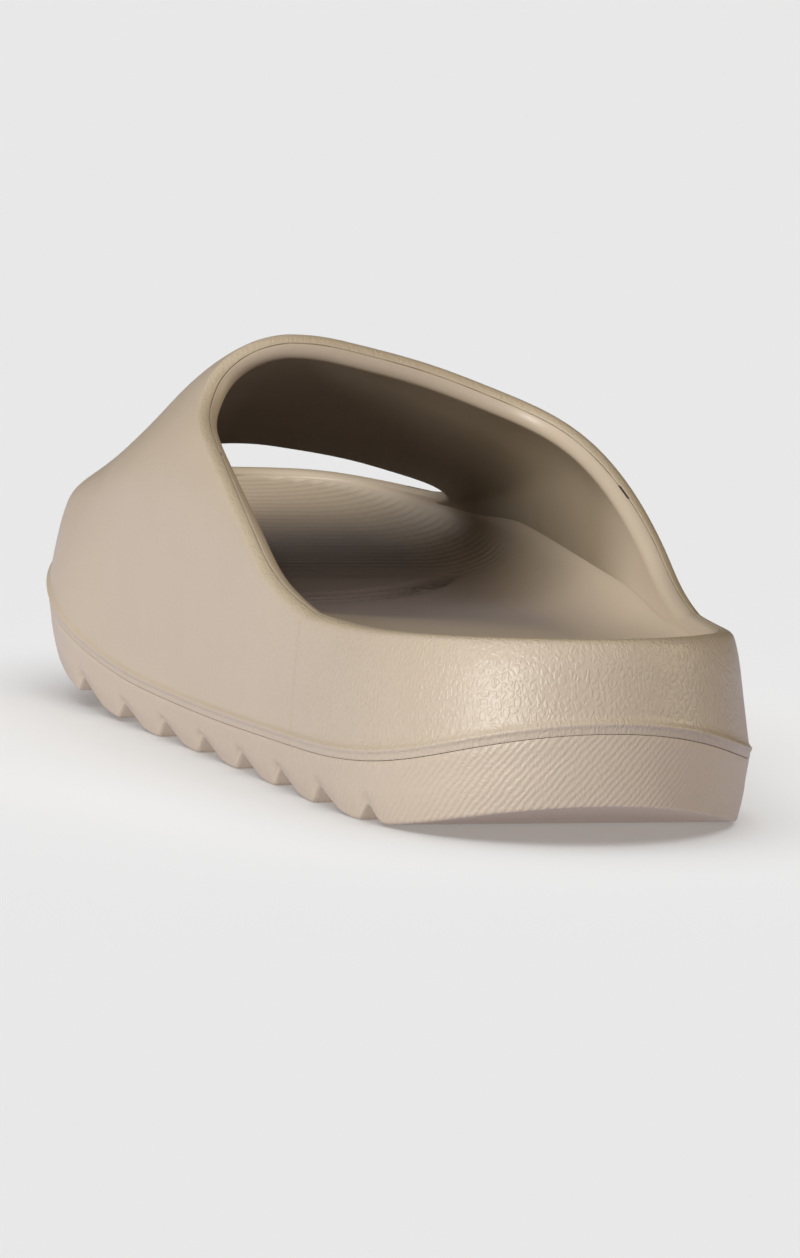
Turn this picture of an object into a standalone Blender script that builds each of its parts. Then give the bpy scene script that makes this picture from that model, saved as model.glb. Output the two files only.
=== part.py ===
# A moulded foam slide sandal for the right foot: a deep walled upper with one wide strap,
# an insole inside it, and a sole with slanted steps along its side. Metres, toe towards +Y.
import math

import bmesh
import bpy
import numpy as np
from mathutils import Vector

# Overall sizes
LENGTH = 0.290
MEDIAL_WIDTH = 0.0550
LATERAL_WIDTH = 0.0510
BEAD_HEIGHT = 0.0242
RIM_HEIGHT = 0.0390
STRAP_HEIGHT = 0.0865
FOOTBED_HEIGHT = 0.0300
TOE_SPRING = 0.0225

# Walls, gaps and small forms
WALL = 0.0052
EDGE_ROUND = 0.0022
BEAD_PROUD = 0.0008
BEAD_BAND = 0.0017
SEAM_DROP = 0.0020
GAP = 0.0003
WALL_FIT = 0.0007
SEAT_GAP = 0.0006
INSOLE_THICKNESS = 0.0045
ARCH_RISE = 0.0042

# The sole's lower edge and its slanted steps
FLAT_END_SHARE = 0.58
HEEL_LIFT = 0.0085
HEEL_BEVEL = 0.0260
SIDE_TUCK = 0.0026
TREAD_ROUND = 0.0020
SEAM_GROOVE = 0.0010
STEP_COUNT = 8
STEP_START = 0.0385
STEP_PITCH = 0.0247
STEP_HEIGHT = 0.0042
STEP_SLOPE_SHARE = 0.68
FIRST_SLOPE_SHARE = 0.26
STEP_FACE_SHARE = 0.13
STEP_FOOT_SHARE = 0.72
STEP_FOOT_RISE_SHARE = 0.10

# The ends of the centre line that the walls are drawn around
HEEL_CENTRE_SHARE = 0.15
TOE_CENTRE_SHARE = 0.85

# The arch support of the insole: where along the foot, and how far it spreads
ARCH_SHARE = 0.385
ARCH_SPREAD_SHARE = 0.07

# A row for each section along the foot: where it is as a share of LENGTH, the reach to the
# medial and lateral side as shares of their widths, the bead over the tread as a share of
# BEAD_HEIGHT, the rim and the top of the strap over the floor as shares of theirs, how far
# the top leans to the medial side as a share of MEDIAL_WIDTH, the middle of the footbed and its
# border as shares of FOOTBED_HEIGHT, and how much further the medial side of the strap is drawn
# in towards its top.
SECTIONS = (
    # share medial lateral bead  rim   crown lean  footbed border tuck
    (0.00, 0.000, 0.000, 1.000, 1.000, 0.600, 0.00, 1.03, 1.120, 0.00),
    (0.06, 0.575, 0.606, 0.748, 0.977, 0.605, 0.02, 0.99, 1.105, 0.00),
    (0.15, 0.744, 0.827, 0.570, 0.921, 0.645, 0.08, 0.96, 1.080, 0.00),
    (0.28, 0.802, 0.875, 0.500, 0.897, 0.765, 0.20, 0.96, 1.070, 0.00),
    (0.42, 0.842, 0.922, 0.459, 0.910, 0.920, 0.30, 0.96, 1.085, 0.00),
    (0.55, 0.891, 0.970, 0.467, 0.940, 1.000, 0.33, 0.94, 1.130, 0.00),
    (0.67, 0.953, 1.000, 0.517, 0.980, 0.915, 0.33, 0.92, 1.190, 0.08),
    (0.78, 1.000, 0.970, 0.595, 1.020, 0.760, 0.30, 1.03, 1.270, 0.20),
    (0.88, 0.880, 0.790, 0.670, 1.055, 0.635, 0.25, 1.20, 1.340, 0.11),
    (0.95, 0.564, 0.555, 0.705, 1.090, 0.600, 0.15, 1.33, 1.385, 0.02),
    (1.00, 0.000, 0.000, 0.730, 1.090, 0.590, 0.10, 1.38, 1.390, 0.00),
)
SHARE, MEDIAL, LATERAL, BEAD, RIM, CROWN, LEAN, FOOTBED, BORDER, TUCK = range(10)

# The arch across the foot, from the medial bead over the top line at 1 to the lateral bead at
# 2: how far out it is from the top line, as a share of the reach to the bead, and how high.
ARCH = (
    # round out    up
    (0.00, -1.000, 0.000),
    (0.25, -1.000, 0.300),
    (0.42, -0.985, 0.480),
    (0.53, -0.950, 0.600),
    (0.62, -0.875, 0.685),
    (0.70, -0.785, 0.750),
    (0.78, -0.670, 0.820),
    (0.86, -0.510, 0.905),
    (0.93, -0.280, 0.972),
    (1.00, 0.000, 1.000),
    (1.08, 0.210, 0.980),
    (1.18, 0.450, 0.930),
    (1.28, 0.660, 0.865),
    (1.38, 0.840, 0.790),
    (1.48, 0.950, 0.695),
    (1.60, 0.995, 0.570),
    (1.78, 1.000, 0.320),
    (2.00, 1.000, 0.000),
)
AROUND, OUT, UP = range(3)

# The strap's two edges: the height over the rim as the square root of its share of the way to
# the top line, and where the rear and front edges lie there as shares of LENGTH.
STRAP_EDGES = (
    # rise  rear   front
    (0.000, 0.252, 0.862),
    (0.200, 0.328, 0.856),
    (0.476, 0.407, 0.845),
    (0.617, 0.479, 0.838),
    (0.712, 0.542, 0.832),
    (0.796, 0.578, 0.827),
    (0.864, 0.595, 0.823),
    (1.000, 0.608, 0.818),
)
RISE, REAR, FRONT = range(3)

# How finely the surfaces are divided
HEEL_COLUMNS = 13
STRAP_COLUMNS = 16
TOE_COLUMNS = 9
ARCH_ROWS = 12
EDGE_STEPS = 4
ACROSS = 8
COLUMN_SPACE_SHARE = 0.006

COLOURS = {
    "upper": (0.56, 0.47, 0.36),
    "sole": (0.52, 0.43, 0.33),
    "insole": (0.40, 0.33, 0.27),
}


class Curve:
    """A natural cubic curve through given points."""

    def __init__(self, xs, ys):
        self.xs = np.asarray(xs, float)
        self.ys = np.asarray(ys, float)
        count = len(xs)
        self.gaps = np.diff(self.xs)
        slopes = np.diff(self.ys) / self.gaps
        matrix = np.eye(count)
        right = np.zeros(count)
        for i in range(1, count - 1):
            matrix[i, i - 1] = self.gaps[i - 1]
            matrix[i, i] = 2 * (self.gaps[i - 1] + self.gaps[i])
            matrix[i, i + 1] = self.gaps[i]
            right[i] = 3 * (slopes[i] - slopes[i - 1])
        self.bend = np.linalg.solve(matrix, right)
        self.slopes = slopes

    def at(self, x):
        i = min(max(int(np.searchsorted(self.xs, x)) - 1, 0), len(self.gaps) - 1)
        step = x - self.xs[i]
        slope = self.slopes[i] - self.gaps[i] * (2 * self.bend[i] + self.bend[i + 1]) / 3
        twist = (self.bend[i + 1] - self.bend[i]) / (3 * self.gaps[i])
        return float(self.ys[i] + slope * step + self.bend[i] * step ** 2 + twist * step ** 3)


def column_of(table, index):
    return [row[index] for row in table]


def mirrored_at_top(values, top):
    """Continue a column of STRAP_EDGES down the other side, so that it crosses the top smoothly."""
    return values + [top - value if top else value for value in reversed(values[:-1])]


SECTION_CURVES = {
    i: Curve(column_of(SECTIONS, SHARE), column_of(SECTIONS, i)) for i in range(BEAD, TUCK + 1)
}
ARCH_CURVES = {i: Curve(column_of(ARCH, AROUND), column_of(ARCH, i)) for i in (OUT, UP)}
EDGE_CURVES = {
    i: Curve(mirrored_at_top(column_of(STRAP_EDGES, RISE), 2),
             mirrored_at_top(column_of(STRAP_EDGES, i), 0))
    for i in (REAR, FRONT)
}


def section(column, share):
    """Value of one column of SECTIONS at a share of the length."""
    return SECTION_CURVES[column].at(share)


def share_at(turn):
    """Share of the length at an angle round the outline, 0 at the heel and pi at the toe."""
    return (1 - math.cos(turn)) / 2


def turn_at(share):
    return math.acos(1 - 2 * min(max(share, 0.0), 1.0))


TURNS = [turn_at(share) for share in column_of(SECTIONS, SHARE)]
REACH_CURVES = {
    MEDIAL: Curve(TURNS, [MEDIAL_WIDTH * value for value in column_of(SECTIONS, MEDIAL)]),
    LATERAL: Curve(TURNS, [LATERAL_WIDTH * value for value in column_of(SECTIONS, LATERAL)]),
}


def reach(turn, column):
    """Half width on one side at an angle round the outline."""
    return REACH_CURVES[column].at(turn)


def soft_limit(value, low, high, blend=0.05):
    """Hold a value between two limits with rounded corners."""
    def ramp(x):
        return blend * math.log1p(math.exp(min(x / blend, 60.0)))
    return low + ramp(value - low) - ramp(value - high)


def tread_line(share):
    """Height of the tread without its steps: flat, then rising to the toe."""
    return TOE_SPRING * max(0.0, (share - FLAT_END_SHARE) / (1 - FLAT_END_SHARE)) ** 2


def bead_line(share):
    return tread_line(share) + BEAD_HEIGHT * section(BEAD, share)


def rim_line(share):
    return RIM_HEIGHT * section(RIM, share)


def crown_line(share):
    return STRAP_HEIGHT * section(CROWN, share)


def seam_line(share):
    return bead_line(share) - SEAM_DROP


def arch(lift, medial, own):
    """How far out and how high the arch is on one side. own goes from 0.5 on the centre line,
    where both sides are alike, to 1 at the widest place."""
    near, far = (lift, 2 - lift) if medial else (2 - lift, lift)
    out = own * abs(ARCH_CURVES[OUT].at(near)) + (1 - own) * abs(ARCH_CURVES[OUT].at(far))
    up = own * ARCH_CURVES[UP].at(near) + (1 - own) * ARCH_CURVES[UP].at(far)
    return out, up


def side_of(turn):
    """Share of the length, which side, half width there and how much of its own arch it has."""
    folded = turn % (2 * math.pi)
    medial = folded <= math.pi
    half_turn = folded if medial else 2 * math.pi - folded
    column, widest = (MEDIAL, MEDIAL_WIDTH) if medial else (LATERAL, LATERAL_WIDTH)
    width = reach(half_turn, column)
    return share_at(half_turn), medial, width, 0.5 + 0.5 * min(1.0, 1.3 * width / widest)


def form(turn, lift):
    """Point of the outer form: turn goes round the outline, medial side first, and lift goes
    from 0 at the bead to 1 at the top line and on down the other side."""
    if lift > 1:
        turn, lift = -turn, 2 - lift
    share, medial, width, own = side_of(turn)
    out, up = arch(max(lift, 0.0), medial, own)
    if medial:
        out *= 1 - section(TUCK, share) * up
    edge_x = -width if medial else width
    top_x = -MEDIAL_WIDTH * section(LEAN, share)
    top_y = LENGTH * soft_limit(share, HEEL_CENTRE_SHARE, TOE_CENTRE_SHARE)
    low = bead_line(share)
    x = top_x + (edge_x - top_x) * out
    y = top_y + (LENGTH * share - top_y) * out
    return Vector((x, y, low + (crown_line(share) - low) * up))


def skin(turn, lift, depth):
    """Point at a depth under the outer form, measured square to it."""
    along = form(turn + 0.004, lift) - form(turn - 0.004, lift)
    over = form(turn, lift + 0.005) - form(turn, max(lift - 0.005, 0.0))
    if lift > 1:
        along.negate()
    outward = over.cross(along).normalized()
    return form(turn, lift) - outward * depth


def lift_at(turn, height):
    """Lift at which the outer form reaches a height."""
    share, medial, _, own = side_of(turn)
    low = bead_line(share)
    wanted = (height - low) / (crown_line(share) - low)
    start, end = 0.0, 1.0
    for _ in range(26):
        middle = (start + end) / 2
        if arch(middle, medial, own)[1] < wanted:
            start = middle
        else:
            end = middle
    return (start + end) / 2


def side_point(turn, height, depth):
    """Point at a height and at a depth under the outer form, on its walls."""
    point = skin(turn, lift_at(turn, height), depth)
    point.z = height
    return point


class Shell:
    """A mesh that is built from rows of points."""

    def __init__(self, name):
        self.name = name
        self.mesh = bmesh.new()

    def row(self, points):
        return [self.mesh.verts.new(point) for point in points]

    def face(self, corners):
        kept = [corner for i, corner in enumerate(corners) if corner != corners[i - 1]]
        if len(kept) > 2:
            self.mesh.faces.new(kept)

    def strip(self, first, second, closed=False):
        """Join two rows of vertices with a strip of faces."""
        count = len(first)
        for i in range(count if closed else count - 1):
            j = (i + 1) % count
            self.face([first[i], first[j], second[j], second[i]])

    def finish(self, collection, material):
        bmesh.ops.recalc_face_normals(self.mesh, faces=self.mesh.faces)
        bmesh.ops.triangulate(self.mesh, faces=self.mesh.faces)
        data = bpy.data.meshes.new(self.name)
        self.mesh.to_mesh(data)
        self.mesh.free()
        data.materials.append(material)
        data.shade_smooth()
        data.set_sharp_from_angle(angle=math.radians(40))
        piece = bpy.data.objects.new(self.name, data)
        collection.objects.link(piece)
        return piece


def spread(start, end, count):
    return [start + (end - start) * i / count for i in range(count)]


def upper_turns():
    """Angles of the columns on the medial side, heel to toe, with one at each strap root."""
    rear = turn_at(STRAP_EDGES[0][REAR])
    front = turn_at(STRAP_EDGES[0][FRONT])
    return (spread(0.0, rear, HEEL_COLUMNS) + spread(rear, front, STRAP_COLUMNS)
            + spread(front, math.pi, TOE_COLUMNS) + [math.pi])


def whole_ring(turns):
    """Angles all the way round from the medial ones."""
    return turns + [2 * math.pi - turn for turn in reversed(turns[1:-1])]


def strap_edge(column, root_turn, along):
    """Where an edge of the strap lies, part of the way up from its root."""
    _, medial, _, own = side_of(root_turn)
    start = lift_at(root_turn, rim_line(share_at(abs(root_turn))))
    first = arch(start, medial, own)[1]
    here = arch(row_lift(start, along), medial, own)[1]
    return EDGE_CURVES[column].at(math.sqrt(max(here - first, 0.0) / (1 - first)))


def row_lift(start, along):
    """Lift of a row of the strap, close together at its roots."""
    return start + (1 - start) * along * along * (2 - along)


def arch_point(column_share, along, root_turn, depth):
    """Point of the strap: column_share goes from its rear edge to its front edge, along from
    its root at the rim to the top line. A negative root_turn is on the lateral side."""
    side = math.copysign(1.0, root_turn)
    ends = [turn_at(STRAP_EDGES[0][column]) * side for column in (REAR, FRONT)]
    rear = strap_edge(REAR, ends[0], along)
    front = strap_edge(FRONT, ends[1], along)
    share = rear + (front - rear) * column_share
    turn = turn_at(share) * side
    root_start = lift_at(root_turn, rim_line(share_at(abs(root_turn))))
    own_start = lift_at(turn, rim_line(share))
    inside = min(1.0, column_share / 0.25) * min(1.0, (1 - column_share) / 0.25)
    start = root_start + (own_start - root_start) * inside
    return skin(turn, row_lift(start, along), depth)


def rounded_edge(shell, outer, inner, inside):
    """Close the gap between the outer and inner edge loops with a rounded lip. The third loop
    holds the neighbours of the outer edge, further into the surface."""
    count = len(outer)
    lips = [outer]
    directions = []
    for i in range(count):
        across = outer[i].co - inner[i].co
        along = outer[(i + 1) % count].co - outer[i - 1].co
        away = along.cross(across).normalized()
        if away.dot(outer[i].co - inside[i].co) < 0:
            away.negate()
        directions.append(away)
    for step in range(1, EDGE_STEPS):
        angle = math.pi * step / EDGE_STEPS
        points = []
        for i in range(count):
            middle = (outer[i].co + inner[i].co) / 2
            half = (outer[i].co - inner[i].co) / 2
            points.append(middle + half * math.cos(angle) + directions[i] * EDGE_ROUND * math.sin(angle))
        lips.append(shell.row(points))
    lips.append(inner)
    for first, second in zip(lips, lips[1:]):
        shell.strip(first, second, closed=True)


def make_upper(collection, material):
    """Walls, rim and strap as one hollow body, open at the collar, the toe and underneath."""
    shell = Shell("upper")
    medial_turns = upper_turns()
    turns = whole_ring(medial_turns)
    last = len(turns)
    first_root = HEEL_COLUMNS
    second_root = HEEL_COLUMNS + STRAP_COLUMNS
    surfaces = []
    for depth in (BEAD_PROUD, BEAD_PROUD + WALL):
        rows = []
        outside = depth == BEAD_PROUD
        shares = [share_at(min(turn, 2 * math.pi - turn)) for turn in turns]
        rows.append([side_point(t, seam_line(s), depth) for t, s in zip(turns, shares)])
        if outside:
            rows.append([side_point(t, bead_line(s), 0.0) for t, s in zip(turns, shares)])
            rows.append([side_point(t, bead_line(s) + BEAD_BAND, depth) for t, s in zip(turns, shares)])
        for part in (0.35, 0.7, 1.0):
            row = []
            for turn, share in zip(turns, shares):
                low = bead_line(share) + (BEAD_BAND if outside else 0.0)
                height = low + (rim_line(share) - low) * part
                row.append(skin(turn, lift_at(turn, height), depth))
            rows.append(row)
        rings = [shell.row(row) for row in rows]
        for first, second in zip(rings, rings[1:]):
            shell.strip(first, second, closed=True)
        rim = rings[-1]
        arch = []
        for k in range(2 * ARCH_ROWS + 1):
            if k == 0:
                arch.append(rim[first_root:second_root + 1])
            elif k == 2 * ARCH_ROWS:
                arch.append([rim[last - first_root - c] for c in range(STRAP_COLUMNS + 1)])
            else:
                points = []
                for c in range(STRAP_COLUMNS + 1):
                    root = medial_turns[first_root + c]
                    root_share = share_at(root)
                    ends = (STRAP_EDGES[0][REAR], STRAP_EDGES[0][FRONT])
                    column_share = (root_share - ends[0]) / (ends[1] - ends[0])
                    side = root if k <= ARCH_ROWS else -root
                    along = min(k, 2 * ARCH_ROWS - k) / ARCH_ROWS
                    points.append(arch_point(column_share, along, side, depth))
                arch.append(shell.row(points))
        for first, second in zip(arch, arch[1:]):
            shell.strip(first, second)
        surfaces.append((rings, arch))
    (outer_rings, outer_arch), (inner_rings, inner_arch) = surfaces
    shell.strip(outer_rings[0], inner_rings[0], closed=True)

    def collar_loop(ring, arch, column):
        heel = [ring[i % last] for i in range(last - first_root, last + first_root + 1)]
        return heel + [arch[k][column] for k in range(1, 2 * ARCH_ROWS)]

    def mouth_loop(ring, arch, column):
        toe = [ring[i] for i in range(last - second_root, second_root - 1, -1)]
        return toe + [arch[k][column] for k in range(1, 2 * ARCH_ROWS)]

    rounded_edge(shell, collar_loop(outer_rings[-1], outer_arch, 0),
                 collar_loop(inner_rings[-1], inner_arch, 0),
                 collar_loop(outer_rings[-2], outer_arch, 1))
    rounded_edge(shell, mouth_loop(outer_rings[-1], outer_arch, STRAP_COLUMNS),
                 mouth_loop(inner_rings[-1], inner_arch, STRAP_COLUMNS),
                 mouth_loop(outer_rings[-2], outer_arch, STRAP_COLUMNS - 1))
    return shell.finish(collection, material)


def footbed_height(share, across):
    """Height of the insole's top, from -1 at the medial border to 1 at the lateral one: dished,
    with its border turned up to the wall and an arch support on the medial side."""
    centre = FOOTBED_HEIGHT * section(FOOTBED, share)
    heel = max(0.0, 1 - share / 0.12) ** 3
    toe = max(0.0, (share - 0.90) / 0.10) ** 3
    inner = (1 - abs(across) ** 4) * (1 - heel) * (1 - toe)
    border = FOOTBED_HEIGHT * section(BORDER, share) - centre
    support = math.exp(-((share - ARCH_SHARE) / ARCH_SPREAD_SHARE) ** 2) * ((1 - across) / 2) ** 1.5
    return centre + border * (1 - inner ** 0.625) + ARCH_RISE * support * inner ** 0.3


def foot_shares():
    """Sections of the insole, at the upper's own columns."""
    return [share_at(turn) for turn in upper_turns()]


def sole_shares():
    """Sections of the sole: the upper's, one at each corner of a step and one at the bevel's end."""
    corners = [corner / LENGTH for i in range(STEP_COUNT) for corner, _ in step_corners(i)]
    corners.append(HEEL_BEVEL / LENGTH)
    apart = [share for share in foot_shares() if min(abs(share - c) for c in corners) > COLUMN_SPACE_SHARE]
    return sorted(apart + corners)


def step_corners(index):
    """Corners of one step of the tread, as places along the foot and heights over its line."""
    apex = STEP_START + STEP_PITCH * index
    slope = STEP_PITCH * (FIRST_SLOPE_SHARE if index == 0 else STEP_SLOPE_SHARE)
    foot = (apex - slope * STEP_FOOT_SHARE, STEP_HEIGHT * STEP_FOOT_RISE_SHARE)
    return ((apex - slope, 0.0), foot, (apex, STEP_HEIGHT), (apex + STEP_PITCH * STEP_FACE_SHARE, 0.0))


def tread_base(share):
    """Height of the tread without its steps, with the bevel at the heel."""
    return tread_line(share) + HEEL_LIFT * max(0.0, 1 - share * LENGTH / HEEL_BEVEL) ** 1.3


def tread_height(share):
    """Height of the tread over the floor, with its steps."""
    corners = [(0.0, 0.0)] + [c for i in range(STEP_COUNT) for c in step_corners(i)] + [(LENGTH, 0.0)]
    cut = np.interp(share * LENGTH, column_of(corners, 0), column_of(corners, 1))
    return tread_base(share) + float(cut)


def cross_row(shell, left, right, share, height_of, drop, across):
    """Row of vertices from the left one to the right one, following the footbed."""
    points = []
    for i in range(1, across):
        part = i / across
        point = left.co.lerp(right.co, part)
        point.z = height_of(share, 2 * part - 1) - drop
        points.append(point)
    return [left] + shell.row(points) + [right]


def joined_rows(shell, ring, shares, height_of, drop, across=ACROSS):
    """Close a ring with rows that run from side to side."""
    count = len(ring)
    ends = len(shares) - 1
    rows = []
    for i in range(1, ends):
        rows.append(cross_row(shell, ring[i], ring[count - i], shares[i], height_of, drop, across))
    for first, second in zip(rows, rows[1:]):
        shell.strip(first, second)
    for tip, row in ((ring[0], rows[0]), (ring[ends], rows[-1])):
        for a, b in zip(row, row[1:]):
            shell.face([tip, a, b])


def make_sole(collection, material):
    """Sole with its stepped tread, and the core that fills the upper under the insole."""
    shell = Shell("sole")
    shares = sole_shares()
    turns = whole_ring([turn_at(share) for share in shares])
    ring_shares = [share_at(min(turn, 2 * math.pi - turn)) for turn in turns]
    inside = BEAD_PROUD + WALL + WALL_FIT

    def ring(height_of, depth):
        return shell.row([side_point(t, height_of(s), depth) for t, s in zip(turns, ring_shares)])

    def seat_edge(share):
        return footbed_height(share, 1.0) - INSOLE_THICKNESS - SEAT_GAP

    def side_height(share, part):
        return tread_base(share) + (seam_line(share) - GAP - tread_base(share)) * part

    rings = [
        ring(tread_height, SIDE_TUCK + TREAD_ROUND),
        ring(lambda s: tread_height(s) + TREAD_ROUND, SIDE_TUCK),
        ring(lambda s: side_height(s, 0.62), BEAD_PROUD + SIDE_TUCK * 0.25),
        ring(lambda s: seam_line(s) - GAP - SEAM_GROOVE, BEAD_PROUD),
        ring(lambda s: seam_line(s) - GAP, BEAD_PROUD + SEAM_GROOVE),
        ring(lambda s: seam_line(s) - GAP, inside),
        ring(lambda s: (seam_line(s) - GAP + seat_edge(s)) / 2, inside),
        ring(seat_edge, inside),
    ]
    for first, second in zip(rings, rings[1:]):
        shell.strip(first, second, closed=True)
    joined_rows(shell, rings[0], shares, lambda s, side: tread_height(s), 0.0, across=1)
    joined_rows(shell, rings[-1], shares, footbed_height, INSOLE_THICKNESS + SEAT_GAP)
    return shell.finish(collection, material)


def make_insole(collection, material):
    """Dished insole that lies on the sole's core, inside the upper's wall."""
    shell = Shell("insole")
    shares = foot_shares()
    turns = whole_ring([turn_at(share) for share in shares])
    ring_shares = [share_at(min(turn, 2 * math.pi - turn)) for turn in turns]
    depth = BEAD_PROUD + WALL + WALL_FIT + GAP
    rings = []
    for drop in (INSOLE_THICKNESS, 0.0):
        points = [side_point(t, footbed_height(s, 1.0) - drop, depth) for t, s in zip(turns, ring_shares)]
        rings.append(shell.row(points))
    shell.strip(rings[0], rings[1], closed=True)
    joined_rows(shell, rings[0], shares, footbed_height, INSOLE_THICKNESS)
    joined_rows(shell, rings[1], shares, footbed_height, 0.0)
    return shell.finish(collection, material)


def make_material(name):
    material = bpy.data.materials.new(name + "_foam")
    material.use_nodes = True
    surface = material.node_tree.nodes["Principled BSDF"]
    surface.inputs["Base Color"].default_value = (*COLOURS[name], 1.0)
    surface.inputs["Roughness"].default_value = 0.6
    surface.inputs["Metallic"].default_value = 0.0
    return material


def centre_on_floor(pieces):
    """Move the origin under the middle of the whole object."""
    corners = [vertex.co for piece in pieces for vertex in piece.data.vertices]
    low = Vector([min(corner[i] for corner in corners) for i in range(3)])
    high = Vector([max(corner[i] for corner in corners) for i in range(3)])
    shift = Vector((-(low.x + high.x) / 2, -(low.y + high.y) / 2, -low.z))
    for piece in pieces:
        for vertex in piece.data.vertices:
            vertex.co += shift


def main():
    for old in list(bpy.data.objects):
        bpy.data.objects.remove(old, do_unlink=True)
    collection = bpy.data.collections.new("slide_sandal")
    bpy.context.scene.collection.children.link(collection)
    pieces = [
        make_upper(collection, make_material("upper")),
        make_sole(collection, make_material("sole")),
        make_insole(collection, make_material("insole")),
    ]
    centre_on_floor(pieces)


main()
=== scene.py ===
# Looks of a moulded foam slide sandal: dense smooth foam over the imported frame, procedural foam
# materials, soft studio light and a long lens behind the heel.
import math

import bmesh
import bpy
import numpy as np
from mathutils import Matrix, Vector


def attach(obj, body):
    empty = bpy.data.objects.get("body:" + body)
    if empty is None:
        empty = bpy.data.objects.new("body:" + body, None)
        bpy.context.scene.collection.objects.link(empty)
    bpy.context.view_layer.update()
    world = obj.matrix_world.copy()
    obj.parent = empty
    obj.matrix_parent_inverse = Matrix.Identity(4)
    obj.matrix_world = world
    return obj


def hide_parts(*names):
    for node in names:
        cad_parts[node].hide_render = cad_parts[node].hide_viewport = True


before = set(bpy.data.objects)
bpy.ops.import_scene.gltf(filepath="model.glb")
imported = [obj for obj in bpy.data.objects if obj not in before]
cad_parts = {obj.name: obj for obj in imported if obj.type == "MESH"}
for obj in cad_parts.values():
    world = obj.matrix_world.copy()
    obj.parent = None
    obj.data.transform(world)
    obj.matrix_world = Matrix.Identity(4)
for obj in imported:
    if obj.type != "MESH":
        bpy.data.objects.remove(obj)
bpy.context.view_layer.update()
print("frame loaded")

# the shoe's own form, in metres; the tables hold shares of the sizes above them
shoe = {
    "length": 0.290,
    "medialWidth": 0.0550,
    "lateralWidth": 0.0510,
    "beadHeight": 0.0242,
    "rimHeight": 0.0390,
    "strapHeight": 0.0865,
    "footbedHeight": 0.0300,
    "toeSpring": 0.0225,
    "flatEnd": 0.58,
    "wall": 0.0052,
    "skinFit": 0.00006,  # keeps the smooth skin inside the solid's box
    "shift": (0.00197, -0.145, 0.0),  # from the heel's middle to the box's middle
    # columns: share, medial, lateral, bead, rim, crown, lean, footbed, border, tuck
    "sections": (
        (0.00, 0.000, 0.000, 1.000, 1.000, 0.600, 0.00, 1.03, 1.120, 0.00),
        (0.06, 0.575, 0.606, 0.748, 0.977, 0.605, 0.02, 0.99, 1.105, 0.00),
        (0.15, 0.744, 0.827, 0.570, 0.921, 0.645, 0.08, 0.96, 1.080, 0.00),
        (0.28, 0.802, 0.875, 0.500, 0.897, 0.765, 0.20, 0.96, 1.070, 0.00),
        (0.42, 0.842, 0.922, 0.459, 0.910, 0.920, 0.30, 0.96, 1.085, 0.00),
        (0.55, 0.891, 0.970, 0.467, 0.940, 1.000, 0.33, 0.94, 1.130, 0.00),
        (0.67, 0.953, 1.000, 0.517, 0.980, 0.915, 0.33, 0.92, 1.190, 0.08),
        (0.78, 1.000, 0.970, 0.595, 1.020, 0.760, 0.30, 1.03, 1.270, 0.20),
        (0.88, 0.880, 0.790, 0.670, 1.055, 0.635, 0.25, 1.20, 1.340, 0.11),
        (0.95, 0.564, 0.555, 0.705, 1.090, 0.600, 0.15, 1.33, 1.385, 0.02),
        (1.00, 0.000, 0.000, 0.730, 1.090, 0.590, 0.10, 1.38, 1.390, 0.00),
    ),
    # columns: how far round the arch, out and up
    "arch": (
        (0.00, -1.000, 0.000), (0.25, -1.000, 0.300), (0.42, -0.985, 0.480),
        (0.53, -0.950, 0.600), (0.62, -0.875, 0.685), (0.70, -0.785, 0.750),
        (0.78, -0.670, 0.820), (0.86, -0.510, 0.905), (0.93, -0.280, 0.972),
        (1.00, 0.000, 1.000), (1.08, 0.206, 0.976), (1.18, 0.437, 0.919),
        (1.28, 0.640, 0.846), (1.38, 0.813, 0.768), (1.48, 0.926, 0.678),
        (1.60, 0.986, 0.560), (1.78, 1.000, 0.320), (2.00, 1.000, 0.000),
    ),
    "heelLean": 0.13,  # how far the heel's walls lean in, and the share of the length where that ends
    "heelLeanEnd": 0.38,
    "heelLeanFade": 0.22,
    "crownEnds": (0.15, 0.85),  # the top line runs between these shares of the length
    "ownArch": 0.5,  # at the toe and heel each side follows this much of its own arch, where wide all of it
    "ownWidth": 1.3,
    "slopeSteps": (0.004, 0.005),  # steps of turn and lift that slopes are measured over
    "weldDistance": 2e-6,
    "sliverDistance": 1e-7,
    "sharpFrom": 50.0,  # degrees between faces from which an edge is shaded sharp
    # columns: rise, rear, medialFront, lateralFront
    "strapEdges": (
        (0.000, 0.252, 0.862, 0.880), (0.200, 0.328, 0.856, 0.866), (0.476, 0.407, 0.845, 0.848),
        (0.617, 0.479, 0.838, 0.838), (0.712, 0.542, 0.832, 0.832), (0.796, 0.578, 0.827, 0.827),
        (0.864, 0.595, 0.823, 0.823), (1.000, 0.608, 0.818, 0.818),
    ),
}


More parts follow.
